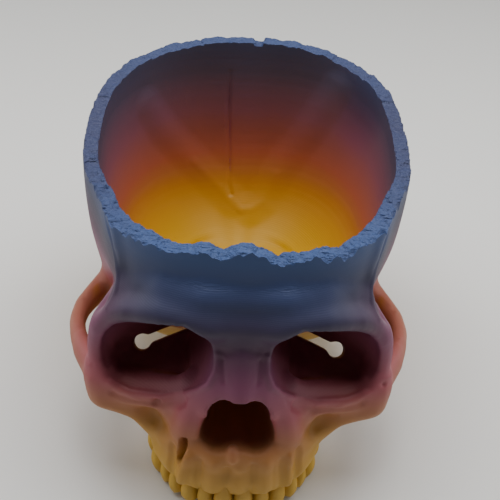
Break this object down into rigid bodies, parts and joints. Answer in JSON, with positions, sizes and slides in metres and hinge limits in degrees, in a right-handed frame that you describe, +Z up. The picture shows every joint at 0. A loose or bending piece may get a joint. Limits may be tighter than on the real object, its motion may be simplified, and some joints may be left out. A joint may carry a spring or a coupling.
{
  "type": "decorative skull bowl",
  "caption": "Life-size decorative skull bowl, open at the crown with a broken rim, no lower jaw, standing on its upper teeth and the back of the skull.",
  "frame": {"origin": "middle of the bounding box across and along, at the height of the surface that the skull stands on", "axes": "+X to the skull's left, +Y to the back of the head, +Z up through the open crown; the face looks along -Y"},
  "size_m": [0.1368, 0.1806, 0.1201],
  "materials": {
    "braincase_print": "matt printed plastic, grey blue at the rim, fading through mauve to yellow at the floor",
    "cheekbone_print": "matt printed plastic, mauve to terracotta",
    "nasal_bone_print": "matt printed plastic, plum",
    "upper_jaw_print": "matt printed plastic, plum at the top, fading through ochre to yellow",
    "tooth_print": "matt printed plastic, mustard yellow"
  },
  "bodies": {
    "root": {"braincase": "braincase_print", "left_cheekbone": "cheekbone_print", "right_cheekbone": "cheekbone_print", "left_nasal_bone": "nasal_bone_print", "right_nasal_bone": "nasal_bone_print", "left_upper_jaw": "upper_jaw_print", "right_upper_jaw": "upper_jaw_print", "left_central_incisor": "tooth_print", "left_lateral_incisor": "tooth_print", "left_canine": "tooth_print", "left_first_premolar": "tooth_print", "left_second_premolar": "tooth_print", "left_first_molar": "tooth_print", "left_second_molar": "tooth_print", "left_third_molar": "tooth_print", "right_central_incisor": "tooth_print", "right_lateral_incisor": "tooth_print", "right_canine": "tooth_print", "right_first_premolar": "tooth_print", "right_second_premolar": "tooth_print", "right_first_molar": "tooth_print", "right_second_molar": "tooth_print", "right_third_molar": "tooth_print"}
  },
  "joints": []
}
